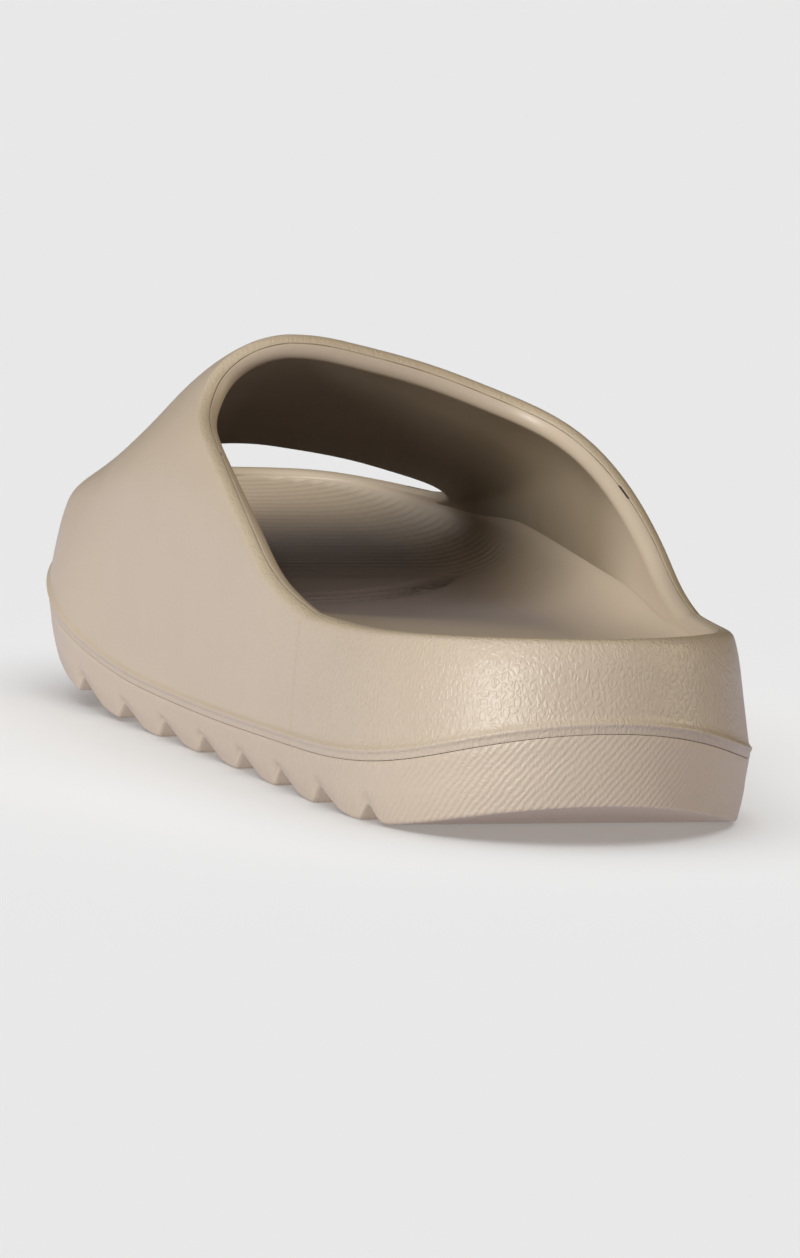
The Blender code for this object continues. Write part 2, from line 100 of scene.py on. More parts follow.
# a natural cubic through given points, read at many places at once
class SmoothCurve:
    def __init__(self, xs, ys):
        self.xs, self.ys = np.asarray(xs, float), np.asarray(ys, float)
        count = len(self.xs)
        self.gaps = np.diff(self.xs)
        self.slopes = np.diff(self.ys) / self.gaps
        matrix, right = np.eye(count), np.zeros(count)
        for i in range(1, count - 1):
            matrix[i, i - 1:i + 2] = self.gaps[i - 1], 2 * (self.gaps[i - 1] + self.gaps[i]), self.gaps[i]
            right[i] = 3 * (self.slopes[i] - self.slopes[i - 1])
        self.bend = np.linalg.solve(matrix, right)

    def at(self, x):
        i = np.clip(np.searchsorted(self.xs, x) - 1, 0, len(self.gaps) - 1)
        step = x - self.xs[i]
        slope = self.slopes[i] - self.gaps[i] * (2 * self.bend[i] + self.bend[i + 1]) / 3
        twist = (self.bend[i + 1] - self.bend[i]) / (3 * self.gaps[i])
        return self.ys[i] + slope * step + self.bend[i] * step ** 2 + twist * step ** 3


def smoothStep(value):
    value = np.clip(value, 0.0, 1.0)
    return value * value * (3 - 2 * value)


# distance run along a row of points
def arcAlong(points):
    steps = np.linalg.norm(np.diff(points, axis=0), axis=1)
    return np.concatenate([[0.0], np.cumsum(steps)])


# a turn is an angle round the outline, 0 at the heel and pi at the toe, medial side first;
# a share is the part of the length in front of the heel
def shareAt(turn):
    return (1 - np.cos(turn)) / 2


def turnAt(share):
    return np.arccos(1 - 2 * np.clip(share, 0.0, 1.0))


sectionTable = np.array(shoe["sections"])
archTable = np.array(shoe["arch"])
edgeTable = np.array(shoe["strapEdges"])
sectionCurves = {
    "medial": SmoothCurve(turnAt(sectionTable[:, 0]), sectionTable[:, 1] * shoe["medialWidth"]),
    "lateral": SmoothCurve(turnAt(sectionTable[:, 0]), sectionTable[:, 2] * shoe["lateralWidth"]),
}
for column, name in enumerate(("bead", "rim", "crown", "lean", "footbed", "border", "tuck"), 3):
    sectionCurves[name] = SmoothCurve(sectionTable[:, 0], sectionTable[:, column])
outCurve = SmoothCurve(archTable[:, 0], archTable[:, 1])
upCurve = SmoothCurve(archTable[:, 0], archTable[:, 2])
riseBoth = np.concatenate([edgeTable[:, 0], 2 - edgeTable[-2::-1, 0]])
edgeCurves = {}
for edge, side, near, far in (
        ("rear", 1.0, 1, 1), ("rear", -1.0, 1, 1), ("front", 1.0, 2, 3), ("front", -1.0, 3, 2)):
    shares = np.concatenate([edgeTable[:, near], edgeTable[-2::-1, far]])
    edgeCurves[edge, side] = SmoothCurve(riseBoth, shares)


# held between low and high with a rounded bend at either
def softLimit(value, low, high, blend=0.05, largest=60.0):
    def ramp(x):
        return blend * np.log1p(np.exp(np.minimum(x / blend, largest)))
    return low + ramp(value - low) - ramp(value - high)


def treadLine(share):
    return shoe["toeSpring"] * np.maximum(0.0, (share - shoe["flatEnd"]) / (1 - shoe["flatEnd"])) ** 2


def beadLine(share):
    return treadLine(share) + shoe["beadHeight"] * sectionCurves["bead"].at(share)


def rimLine(share):
    return shoe["rimHeight"] * sectionCurves["rim"].at(share)


def crownLine(share):
    return shoe["strapHeight"] * sectionCurves["crown"].at(share)


# how far out and up the arch has come at a lift, with some of the other side's arch mixed in
def archAt(lift, medial, own):
    near = np.where(medial, lift, 2 - lift)
    out = own * np.abs(outCurve.at(near)) + (1 - own) * np.abs(outCurve.at(2 - near))
    up = own * upCurve.at(near) + (1 - own) * upCurve.at(2 - near)
    return out, up


# share, whether it's the medial side, half width there, and how much of its own arch the side follows
def sideOf(turn):
    folded = np.mod(turn, 2 * np.pi)
    medial = folded <= np.pi
    halfTurn = np.where(medial, folded, 2 * np.pi - folded)
    width = np.where(medial, sectionCurves["medial"].at(halfTurn), sectionCurves["lateral"].at(halfTurn))
    widest = np.where(medial, shoe["medialWidth"], shoe["lateralWidth"])
    own = shoe["ownArch"] + (1 - shoe["ownArch"]) * np.minimum(1.0, shoe["ownWidth"] * width / widest)
    return shareAt(halfTurn), medial, width, own


# the outer form: lift is 0 at the bead and 1 at the top line, and past 1 it comes down on the other side
def formAt(turn, lift):
    turn, lift = np.broadcast_arrays(np.asarray(turn, float), np.asarray(lift, float))
    over = lift > 1
    turn, lift = np.where(over, -turn, turn), np.where(over, 2 - lift, lift)
    share, medial, width, own = sideOf(turn)
    out, up = archAt(np.maximum(lift, 0.0), medial, own)
    out = np.where(medial, out * (1 - sectionCurves["tuck"].at(share) * up), out)
    leaning = smoothStep((shoe["heelLeanEnd"] - share) / shoe["heelLeanFade"])
    out = out * (1 - shoe["heelLean"] * up * leaning)
    edgeX = np.where(medial, -width, width)
    topX = -shoe["medialWidth"] * sectionCurves["lean"].at(share)
    topY = shoe["length"] * softLimit(share, *shoe["crownEnds"])
    low = beadLine(share)
    return np.stack([
        topX + (edgeX - topX) * out,
        topY + (shoe["length"] * share - topY) * out,
        low + (crownLine(share) - low) * up,
    ], axis=-1)


# a point at a depth under the outer form, square to it
def skinAt(turn, lift, depth):
    turn, lift = np.broadcast_arrays(np.asarray(turn, float), np.asarray(lift, float))
    turnStep, liftStep = shoe["slopeSteps"]
    along = formAt(turn + turnStep, lift) - formAt(turn - turnStep, lift)
    over = formAt(turn, lift + liftStep) - formAt(turn, np.maximum(lift - liftStep, 0.0))
    along = np.where((lift > 1)[..., None], -along, along)
    outward = np.cross(over, along)
    outward /= np.linalg.norm(outward, axis=-1, keepdims=True)
    return formAt(turn, lift) - outward * (np.asarray(depth, float)[..., None] + shoe["skinFit"])


# the lift at which the outer form reaches a height, found by halving
def liftAt(turn, height):
    turn, height = np.broadcast_arrays(np.asarray(turn, float), np.asarray(height, float))
    share, medial, _, own = sideOf(turn)
    low = beadLine(share)
    wanted = (height - low) / (crownLine(share) - low)
    start, end = np.zeros(turn.shape), np.ones(turn.shape)
    for _ in range(24):
        middle = (start + end) / 2
        below = archAt(middle, medial, own)[1] < wanted
        start, end = np.where(below, middle, start), np.where(below, end, middle)
    return (start + end) / 2


# a point at a height and a depth under the outer form, on its walls
def sidePoint(turn, height, depth):
    turn, height, depth = np.broadcast_arrays(
        np.asarray(turn, float), np.asarray(height, float), np.asarray(depth, float))
    point = skinAt(turn, liftAt(turn, height), depth)
    point[..., 2] = height
    return point


# a grid put on a table of points row by row; shoeMap and edgeMap keep each point's place on the shoe
def layPatch(mesh, points, shoePlace=None, edgePlace=None):
    rows, columns = points.shape[:2]
    made = bmesh.ops.create_grid(mesh, x_segments=columns - 1, y_segments=rows - 1, size=0.5)
    maps = []
    for name, place in (("shoeMap", shoePlace), ("edgeMap", edgePlace)):
        layer = mesh.loops.layers.uv.get(name) or mesh.loops.layers.uv.new(name)
        if place is not None:
            maps.append((layer, [np.broadcast_to(part, (rows, columns)).tolist() for part in place]))
    moved = (points + np.array(shoe["shift"])).tolist()
    places, faces = {}, set()
    for vertex in made["verts"]:
        column = round((vertex.co.x + 0.5) * (columns - 1))
        row = round((vertex.co.y + 0.5) * (rows - 1))
        vertex.co = moved[row][column]
        places[vertex] = (row, column)
        faces.update(vertex.link_faces)
    for face in faces:
        for loop in face.loops:
            row, column = places[loop.vert]
            for layer, (first, second) in maps:
                loop[layer].uv = (first[row][column], second[row][column])


def finishPiece(mesh, name, material, nodeName):
    bmesh.ops.remove_doubles(mesh, verts=mesh.verts, dist=shoe["weldDistance"])
    bmesh.ops.dissolve_degenerate(mesh, dist=shoe["sliverDistance"], edges=mesh.edges)
    bmesh.ops.recalc_face_normals(mesh, faces=mesh.faces)
    data = bpy.data.meshes.new(name)
    mesh.to_mesh(data)
    mesh.free()
    data.materials.append(material)
    data.shade_smooth()
    data.set_sharp_from_angle(angle=math.radians(shoe["sharpFrom"]))
    piece = bpy.data.objects.new(name, data)
    bpy.context.scene.collection.objects.link(piece)
    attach(piece, "root")
    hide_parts(nodeName)
    print(name, "built:", len(data.polygons), "faces")
    return piece


# angles from the toe round the lateral side to the heel and on round the medial side to the toe
def bothSides(medialTurns):
    return np.concatenate([-medialTurns[::-1], medialTurns[1:]])


# distance round the outline from the heel, less than 0 on the lateral side
denseTurns = np.linspace(-np.pi, np.pi, 1441)
denseRun = arcAlong(formAt(denseTurns, 0.0))


def aroundOf(turns):
    return np.interp(turns, denseTurns, denseRun - denseRun[len(denseRun) // 2])


# upper
upperLook = {
    "heelColumns": 64,
    "collarColumns": 18,
    "strapColumns": 84,
    "toeColumns": 44,
    "archRows": 78,
    "wallRows": 18,
    "collarEnd": 0.36,  # share of the length where the strap takes the collar's edge over from the walls
    "collarSteps": 1200,
    "beadProud": 0.0008,
    "beadBand": 0.0012,
    "seamDrop": 0.0020,
    "edgeRound": 0.0023,
    "partingAngle": 80.0,  # where the mould's parting line lies on the rounded edge, 0 at its outer side
    "partingWidth": 3.5,
    "partingDepth": 0.00022,
    "edgeAngles": (0, 10, 20, 30, 40, 50, 60, 68, 73, 76.5, 80, 83.5, 87, 92,
                   100, 110, 120, 130, 140, 150, 160, 170, 180),
    # across the bead, from the seam at -1 to the wall above it at 1, and how far it stands out
    "beadShape": ((-1.0, 0.02), (-0.92, 0.10), (-0.8, 0.15), (-0.6, 0.19), (-0.42, 0.25), (-0.30, 0.40),
                  (-0.16, 0.62), (0.0, 0.70), (0.18, 0.60), (0.4, 0.32), (0.7, 0.09)),
}
rootRear = edgeTable[0, 1]
rootFront = {1.0: edgeTable[0, 2], -1.0: edgeTable[0, 3]}


def rimLift(turn):
    return liftAt(turn, rimLine(shareAt(np.abs(turn))))


# where the strap's rear or front edge lies at a lift, as a share of the length
def edgeShare(name, side, lift):
    rootTurn = side * turnAt(rootRear if name == "rear" else rootFront[side])
    _, medial, _, own = sideOf(np.array(rootTurn))
    first = archAt(rimLift(rootTurn), medial, own)[1]
    here = archAt(lift, medial, own)[1]
    return edgeCurves[name, side].at(np.sqrt(np.maximum(here - first, 0.0) / (1 - first)))


def collarLift(side, share):
    lifts = np.linspace(rimLift(side * turnAt(rootRear)), 1.0, upperLook["collarSteps"])
    return np.interp(share, edgeShare("rear", side, lifts), lifts)


# lift of the walls' upper end: the rim, then the collar's edge, then a line under the strap
def wallTop(turns):
    share = shareAt(np.abs(turns))
    rim = rimLift(turns)
    top = rim.copy()
    end = upperLook["collarEnd"]
    for side in (1.0, -1.0):
        own = turns * side > 0
        onCollar = own & (share > rootRear) & (share <= end)
        top[onCollar] = collarLift(side, share[onCollar])
        extra = collarLift(side, end) - rimLift(side * turnAt(end))
        under = own & (share > end) & (share < rootFront[side])
        toFront = (rootFront[side] - share[under]) / (rootFront[side] - end)
        top[under] = rim[under] + extra * smoothStep(toFront)
    return top


# the strap over the foot, from the medial side to the lateral one: a row of points for each step over
def strapPatch(rootTurns, depth):
    half = upperLook["archRows"]
    starts = {side: wallTop(side * rootTurns[side]) for side in (1.0, -1.0)}
    rows = []
    for k in range(2 * half + 1):
        side = 1.0 if k <= half else -1.0
        shares = shareAt(rootTurns[side])
        start, along = starts[side], min(k, 2 * half - k) / half
        rear = edgeShare("rear", side, start[0] + (1 - start[0]) * along)
        front = edgeShare("front", side, start[-1] + (1 - start[-1]) * along)
        columnShare = (shares - shares[0]) / (shares[-1] - shares[0])
        turns = turnAt(rear + (front - rear) * columnShare) * side
        rows.append(skinAt(turns, start + (1 - start) * along, np.full(turns.shape, depth)))
    return np.array(rows)


# the ring of wall from the seam up
def wallPatch(turns, depth, outside):
    bead = beadLine(shareAt(np.abs(turns)))
    rows = []
    if outside:
        for part, stand in upperLook["beadShape"]:
            span = upperLook["seamDrop"] if part < 0 else upperLook["beadBand"]
            rows.append(sidePoint(turns, bead + span * part, depth - upperLook["beadProud"] * stand))
        low = liftAt(turns, bead + upperLook["beadBand"])
    else:
        rows.append(sidePoint(turns, bead - upperLook["seamDrop"], depth))
        low = liftAt(turns, bead)
    top = wallTop(turns)
    for part in np.linspace(0, 1, upperLook["wallRows"] + 1):
        rows.append(skinAt(turns, low + (top - low) * part, np.full(turns.shape, depth)))
    return np.array(rows)


# the rounded edge between the outer and the inner side, with the mould's parting line cut into it
def layEdge(mesh, outer, inner, inside):
    across = outer - inner
    along = np.roll(outer, -1, axis=0) - np.roll(outer, 1, axis=0)
    away = np.cross(along, across)
    away /= np.linalg.norm(away, axis=-1, keepdims=True)
    away = np.where(np.sum(away * (outer - inside), axis=-1, keepdims=True) < 0, -away, away)
    middle, half = (outer + inner) / 2, across / 2
    rows = []
    for degrees in upperLook["edgeAngles"]:
        angle = math.radians(degrees)
        near = max(0.0, 1 - abs(degrees - upperLook["partingAngle"]) / upperLook["partingWidth"])
        stand = upperLook["edgeRound"] * math.sin(angle) - upperLook["partingDepth"] * near
        rows.append(middle + half * math.cos(angle) + away * stand)
    rows = np.array(rows)
    rows = np.concatenate([rows, rows[:, :1]], axis=1)
    over = np.array(upperLook["edgeAngles"])[:, None] / 180.0
    layPatch(mesh, rows, edgePlace=(arcAlong(rows[0])[None], over))


def buildUpper(material):
    mesh = bmesh.new()
    sideTurns = {}
    for side in (1.0, -1.0):
        ends = [turnAt(share) for share in (rootRear, upperLook["collarEnd"], rootFront[side])]
        sideTurns[side] = np.concatenate([
            np.linspace(0, ends[0], upperLook["heelColumns"], endpoint=False),
            np.linspace(ends[0], ends[1], upperLook["collarColumns"], endpoint=False),
            np.linspace(ends[1], ends[2], upperLook["strapColumns"], endpoint=False),
            np.linspace(ends[2], np.pi, upperLook["toeColumns"] + 1),
        ])
    turns = np.concatenate([-sideTurns[-1.0][::-1], sideTurns[1.0][1:]])
    heel = len(sideTurns[1.0]) - 1
    rear = upperLook["heelColumns"] + upperLook["collarColumns"]
    front = rear + upperLook["strapColumns"]
    rootTurns = {side: sideTurns[side][rear:front + 1] for side in sideTurns}
    around = aroundOf(turns)[None]
    strapAround = aroundOf(rootTurns[1.0])[None]
    sides = []
    for over, depth in ((0.0, upperLook["beadProud"]), (1.0, upperLook["beadProud"] + shoe["wall"])):
        wall, strap = wallPatch(turns, depth, over == 0.0), strapPatch(rootTurns, depth)
        layPatch(mesh, wall, (around, wall[..., 2]), (around, over))
        layPatch(mesh, strap, (strapAround, strap[..., 2]), (strapAround, over))
        sides.append((wall, strap))
    (wallOut, strapOut), (wallIn, strapIn) = sides
    layPatch(mesh, np.array([wallOut[0], wallIn[0]]))

    def collarLoop(ring, strap, column):
        return np.concatenate([ring[heel - rear:heel + rear + 1], strap[1:-1, column]])

    def mouthLoop(ring, strap, column):
        return np.concatenate([ring[heel + front:], ring[1:heel - front + 1], strap[-2:0:-1, column]])

    layEdge(mesh, collarLoop(wallOut[-1], strapOut, 0), collarLoop(wallIn[-1], strapIn, 0),
            collarLoop(wallOut[-2], strapOut, 1))
    layEdge(mesh, mouthLoop(wallOut[-1], strapOut, -1), mouthLoop(wallIn[-1], strapIn, -1),
            mouthLoop(wallOut[-2], strapOut, -2))
    return finishPiece(mesh, "strapUpper", material, "upper")


# insole
insoleLook = {
    "lengthRows": 520,
    "acrossRows": 60,
    "thickness": 0.0045,
    "wallFit": 0.00005,
    "undersideRows": 8,
    "bowlRound": 0.017,  # how far from the wall the bowl begins to rise
    "gapBatches": 40,
    "borderDrop": 0.0012,  # under the rim
    "strapBorder": 0.0025,  # how much higher the border climbs under the strap, between these shares
    "strapFrom": 0.30,
    "strapTo": 0.86,
    "strapFade": 0.14,
    "toeBorder": 0.0020,  # and at the toe, where it runs out into the lip
    "toeFrom": 0.80,
    "toeFade": 0.08,
    "heelEnd": 0.12,  # the dish closes behind this share and in front of the next
    "toeStart": 0.90,
    "dishPower": 0.625,
    "archRise": 0.0042,
    "archShare": 0.385,
    "archSpread": 0.07,
    "archSide": 1.5,
    "archPower": 0.3,
    "ribPitch": 0.0027,
    "ribDepth": 0.00060,
    "ribsFrom": 0.205,
    "ribFade": 0.008,
    "ribSides": (0.985, 0.10),  # how far across they run, and the fade there
    "foldDepth": 0.0019,
    "foldWidth": 0.0011,
    # how far from the heel the three folds lie at the medial, middle and lateral part of the footbed
    "folds": ((0.1700, 0.1815, 0.2105), (0.1780, 0.1870, 0.2112), (0.1875, 0.1935, 0.2120)),
    "foldEnds": (-0.017, 0.0305),
    "foldParts": (-0.35, 1.1),
    "foldLimit": 0.034,
    "foldFade": 0.010,
}


# the rise under the arch of the foot, on the medial side
def archSupport(share, across):
    spread = (share - insoleLook["archShare"]) / insoleLook["archSpread"]
    return insoleLook["archRise"] * np.exp(-spread ** 2) * ((1 - across) / 2) ** insoleLook["archSide"]


def footbedCentre(share):
    return shoe["footbedHeight"] * sectionCurves["footbed"].at(share)


# height of the footbed; across runs from -1 at the medial border to 1 at the lateral one
def footbedHeight(share, across):
    centre, toeStart = footbedCentre(share), insoleLook["toeStart"]
    heel = np.maximum(0.0, 1 - share / insoleLook["heelEnd"]) ** 3
    toe = np.maximum(0.0, (share - toeStart) / (1 - toeStart)) ** 3
    inner = (1 - np.abs(across) ** 4) * (1 - heel) * (1 - toe)
    border = shoe["footbedHeight"] * sectionCurves["border"].at(share) - centre
    support = archSupport(share, across) * inner ** insoleLook["archPower"]
    return centre + border * (1 - inner ** insoleLook["dishPower"]) + support


# how far fine ribs across the forefoot, and three deeper folds behind them, have sunk at each point: 0 to 1
def footbedRelief(x, y, across):
    widest, sideFade = insoleLook["ribSides"]
    fade = smoothStep((y - insoleLook["ribsFrom"]) / insoleLook["ribFade"])
    fade = fade * smoothStep((widest - np.abs(across)) / sideFade)
    ribs = (0.5 - 0.5 * np.cos(2 * np.pi * y / insoleLook["ribPitch"])) * fade
    folds = np.zeros(ribs.shape)
    start, end = insoleLook["foldEnds"]
    part = np.clip((x - start) / (end - start), *insoleLook["foldParts"])
    limit, foldFade = insoleLook["foldLimit"], insoleLook["foldFade"]
    ends = smoothStep((x + limit) / foldFade) * smoothStep((limit - x) / foldFade)
    for near, middle, far in insoleLook["folds"]:
        line = near + (4 * middle - 3 * near - far) * part + 2 * (far - 2 * middle + near) * part ** 2
        folds = np.maximum(folds, np.exp(-((y - line) / insoleLook["foldWidth"]) ** 2) * ends)
    return ribs, folds


def borderHeight(share):
    under = smoothStep((share - insoleLook["strapFrom"]) / insoleLook["strapFade"])
    under = under * smoothStep((insoleLook["strapTo"] - share) / insoleLook["strapFade"])
    toe = smoothStep((share - insoleLook["toeFrom"]) / insoleLook["toeFade"])
    rise = insoleLook["strapBorder"] * under + insoleLook["toeBorder"] * toe
    return rimLine(share) - insoleLook["borderDrop"] + rise


# the visible bowl: it rises on a rounded curve until it stands upright at the wall
def bowlHeight(points, shares, across, outline):
    flat = points[..., :2].reshape(-1, 2)
    gap = np.concatenate([
        np.min(np.linalg.norm(part[:, None] - outline[None], axis=-1), axis=1)
        for part in np.array_split(flat, insoleLook["gapBatches"])]).reshape(points.shape[:2])
    rise = np.clip(1 - gap / insoleLook["bowlRound"], 0.0, 1.0)
    curve = 1 - np.sqrt(1 - rise ** 2)
    centre = footbedCentre(shares)
    border = np.maximum(borderHeight(shares), centre)
    return centre + archSupport(shares, across) * (1 - rise ** 4) + (border - centre) * curve


# the footbed, or its underside where it's dropped by the thickness
def insolePatch(turns, drop, acrossRows):
    depth = upperLook["beadProud"] + shoe["wall"] + insoleLook["wallFit"]
    shares = shareAt(turns)
    height = footbedHeight(shares, np.ones(len(shares))) - drop
    if not drop:
        height = np.maximum(borderHeight(shares), footbedCentre(shares))
    left, right = sidePoint(turns, height, depth), sidePoint(-turns, height, depth)
    even = np.linspace(0, 1, acrossRows + 1)
    part = (0.5 - 0.5 * np.cos(np.pi * even))[:, None, None]  # close rows where the bowl turns upright
    points = left[None] * (1 - part) + right[None] * part
    across = np.broadcast_to(2 * part[..., 0] - 1, points.shape[:2])
    points[..., 2] = footbedHeight(shares[None], across) - drop
    if not drop:
        outline = np.concatenate([left, right[::-1]])[:, :2]
        points[..., 2] = bowlHeight(points, shares[None], across, outline)
    ribs, folds = footbedRelief(points[..., 0], points[..., 1], across)
    if not drop:
        points[..., 2] -= insoleLook["ribDepth"] * ribs + insoleLook["foldDepth"] * folds
    points[0], points[-1] = left, right
    return points, (across, shares[None]), (ribs, folds)


def buildInsole(material):
    mesh = bmesh.new()
    turns = np.linspace(0, np.pi, insoleLook["lengthRows"] + 1)
    top, place, sunk = insolePatch(turns, 0.0, insoleLook["acrossRows"])
    bottom = insolePatch(turns, insoleLook["thickness"], insoleLook["undersideRows"])[0]
    layPatch(mesh, top, place, sunk)
    layPatch(mesh, bottom)
    layPatch(mesh, np.array([top[0], bottom[0]]))
    layPatch(mesh, np.array([top[-1], bottom[-1]]))
    return finishPiece(mesh, "footbed", material, "insole")


# sole
soleLook = {
    "columns": 420,
    "endColumns": 14,  # closer columns at the heel and toe, as far in as this many of the others
    "endsFrom": 4,
    "acrossRows": 10,
    "heelLift": 0.0078,
    "heelBevel": 0.0380,
    "bevelPower": 1.5,
    "toeLift": 0.0028,  # how much higher the tread runs in front of the last step
    "toeLiftFrom": 0.73,
    "toeLiftFade": 0.12,
    "sideTuck": 0.0026,
    "tuckPower": 1.5,
    "tuckTop": 0.25,  # part of the tuck that is left at the sole's shoulder
    "shoulder": 0.62,
    "sideParts": (0.12, 0.25, 0.4, 0.6, 0.8, 1.0),
    "shoulderParts": (0.33, 0.66, 1.0),
    "treadRound": 0.0009,
    "seamGroove": 0.00012,
    "stepCount": 8,
    "stepStart": 0.0385,
    "stepPitch": 0.0247,
    "stepHeight": 0.0038,
    "stepSlope": 0.68,
    "firstSlope": 0.26,
    "stepFace": 0.13,
    "stepFoot": (0.72, 0.10),
    "stepBlend": 0.0009,
    "gap": 0.0001,
    "wallFit": 0.0004,
}


def stepCorners():
    corners = [(0.0, 0.0)]
    pitch, height = soleLook["stepPitch"], soleLook["stepHeight"]
    foot, footRise = soleLook["stepFoot"]
    for i in range(soleLook["stepCount"]):
        apex = soleLook["stepStart"] + pitch * i
        slope = pitch * (soleLook["firstSlope"] if i == 0 else soleLook["stepSlope"])
        corners += [(apex - slope, 0.0), (apex - slope * foot, height * footRise), (apex, height),
                    (apex + pitch * soleLook["stepFace"], 0.0)]
    return np.array(corners + [(shoe["length"], 0.0)])


def treadBase(share):
    bevel = np.maximum(0.0, 1 - share * shoe["length"] / soleLook["heelBevel"]) ** soleLook["bevelPower"]
    toe = smoothStep((share - soleLook["toeLiftFrom"]) / soleLook["toeLiftFade"])
    return treadLine(share) + soleLook["heelLift"] * bevel + soleLook["toeLift"] * toe


# the tread with its steps, their corners rounded a little
def treadHeight(share):
    corners = stepCorners()
    y = share * shoe["length"]
    shifts = np.linspace(-1, 1, 9) * soleLook["stepBlend"]
    steps = [np.interp(y + shift, corners[:, 0], corners[:, 1]) for shift in shifts]
    return treadBase(share) + np.mean(steps, axis=0)


def buildSole(material):
    mesh = bmesh.new()
    medialTurns = turnAt(np.linspace(0, 1, soleLook["columns"] + 1))
    ends = np.linspace(0, medialTurns[soleLook["endsFrom"]], soleLook["endColumns"])[1:-1]
    medialTurns = np.sort(np.concatenate([medialTurns, ends, np.pi - ends]))
    turns = bothSides(medialTurns)
    shares = shareAt(np.abs(turns))
    proud, tuck, treadRound = upperLook["beadProud"], soleLook["sideTuck"], soleLook["treadRound"]
    groove, shoulderTuck = soleLook["seamGroove"], tuck * soleLook["tuckTop"]
    seam = beadLine(shares) - upperLook["seamDrop"] - soleLook["gap"]
    tread, base = treadHeight(shares), treadBase(shares)
    inside = proud + shoe["wall"] + soleLook["wallFit"]
    seat = footbedHeight(shares, np.ones(len(shares))) - insoleLook["thickness"] - soleLook["gap"]
    shoulder = base + (seam - base) * soleLook["shoulder"]
    rows = []
    for angle in np.linspace(0, np.pi / 2, 6):
        rows.append(sidePoint(turns, tread + treadRound * (1 - math.cos(angle)),
                              tuck + treadRound * (1 - math.sin(angle))))
    for part in soleLook["sideParts"]:
        height = tread + treadRound + (shoulder - tread - treadRound) * part
        inward = (tuck - shoulderTuck - proud) * (1 - part) ** soleLook["tuckPower"]
        rows.append(sidePoint(turns, height, proud + shoulderTuck + inward))
    for part in soleLook["shoulderParts"]:
        height = shoulder + (seam - groove - shoulder) * part
        rows.append(sidePoint(turns, height, proud + shoulderTuck * (1 - part)))
    for angle in np.linspace(0, np.pi / 2, 5)[1:]:
        height = seam - groove + groove * math.sin(angle)
        rows.append(sidePoint(turns, height, proud + groove * (1 - math.cos(angle))))
    for height in (seam, (seam + seat) / 2, seat):
        rows.append(sidePoint(turns, height, inside))
    rows = np.array(rows)
    layPatch(mesh, rows, (aroundOf(turns)[None], rows[..., 2]))
    middle = len(medialTurns) - 1
    for ring, dished in ((rows[0], False), (rows[-1], True)):
        left, right = ring[middle:], ring[middle::-1]
        part = np.linspace(0, 1, soleLook["acrossRows"] + 1)[:, None, None]
        points = left[None] * (1 - part) + right[None] * part
        if dished:
            core = footbedHeight(shareAt(medialTurns)[None], 2 * part[..., 0] - 1)
            points[1:-1, :, 2] = core[1:-1] - insoleLook["thickness"] - soleLook["gap"]
        layPatch(mesh, points)
    return finishPiece(mesh, "steppedSole", material, "sole")


# materials
foamLook = {
    "colour": (0.475, 0.385, 0.293),
    "roughness": 0.42,
    "mottle": 0.035,  # how much the moulded colour drifts
    "grainSize": 0.00112,
    "grainDepth": 0.000085,  # at the heel, where it's deepest
    "dark": (0.05, 0.035, 0.025),  # where no light reaches
}


def addNode(tree, kind, inputs=None, **settings):
    node = tree.nodes.new(kind)
    for name, value in settings.items():
        setattr(node, name, value)
    for name, value in (inputs or {}).items():
        if isinstance(value, bpy.types.NodeSocket):
            tree.links.new(value, node.inputs[name])
        else:
            node.inputs[name].default_value = value
    return node


def mathNode(tree, operation, *values):
    return addNode(tree, "ShaderNodeMath", dict(enumerate(values)), operation=operation).outputs[0]


def timesNode(tree, first, *others):
    for value in others:
        first = mathNode(tree, "MULTIPLY", first, value)
    return first


# how far a value lies from a middle
def awayNode(tree, value, middle):
    return mathNode(tree, "ABSOLUTE", mathNode(tree, "SUBTRACT", value, middle))


# smooth from the first result at the first limit to the second one at the second limit
def rampNode(tree, value, limits, results=(0.0, 1.0)):
    return addNode(tree, "ShaderNodeMapRange", {
        "Value": value, "From Min": limits[0], "From Max": limits[1],
        "To Min": results[0], "To Max": results[1],
    }, interpolation_type="SMOOTHSTEP").outputs["Result"]


def noiseNode(tree, place, scale, detail):
    return addNode(tree, "ShaderNodeTexNoise", {"Vector": place, "Scale": scale, "Detail": detail}).outputs


def opaque(colour):
    return (*colour, 1.0) if isinstance(colour, tuple) else colour


def mixNode(tree, factor, first, second):
    inputs = {0: factor, 6: opaque(first), 7: opaque(second)}
    return addNode(tree, "ShaderNodeMix", inputs, data_type="RGBA").outputs[2]


def newGroup(name, inputs, output, outputKind):
    tree = bpy.data.node_groups.new(name, "ShaderNodeTree")
    for socketName, kind in inputs.items():
        tree.interface.new_socket(socketName, in_out="INPUT", socket_type="NodeSocket" + kind)
    tree.interface.new_socket(output, in_out="OUTPUT", socket_type="NodeSocket" + outputKind)
    return tree, addNode(tree, "NodeGroupInput").outputs, addNode(tree, "NodeGroupOutput").inputs


# pebbled grain of the mould: upright cells with worn grooves between them; scales count in cells
grainLook = {
    "wanderScale": 0.9,
    "wander": 1.1,
    "groove": (0.02, 0.30),
    "pebbleShare": 0.75,
    "fineScale": 2.6,
    "fineShare": 0.55,
}


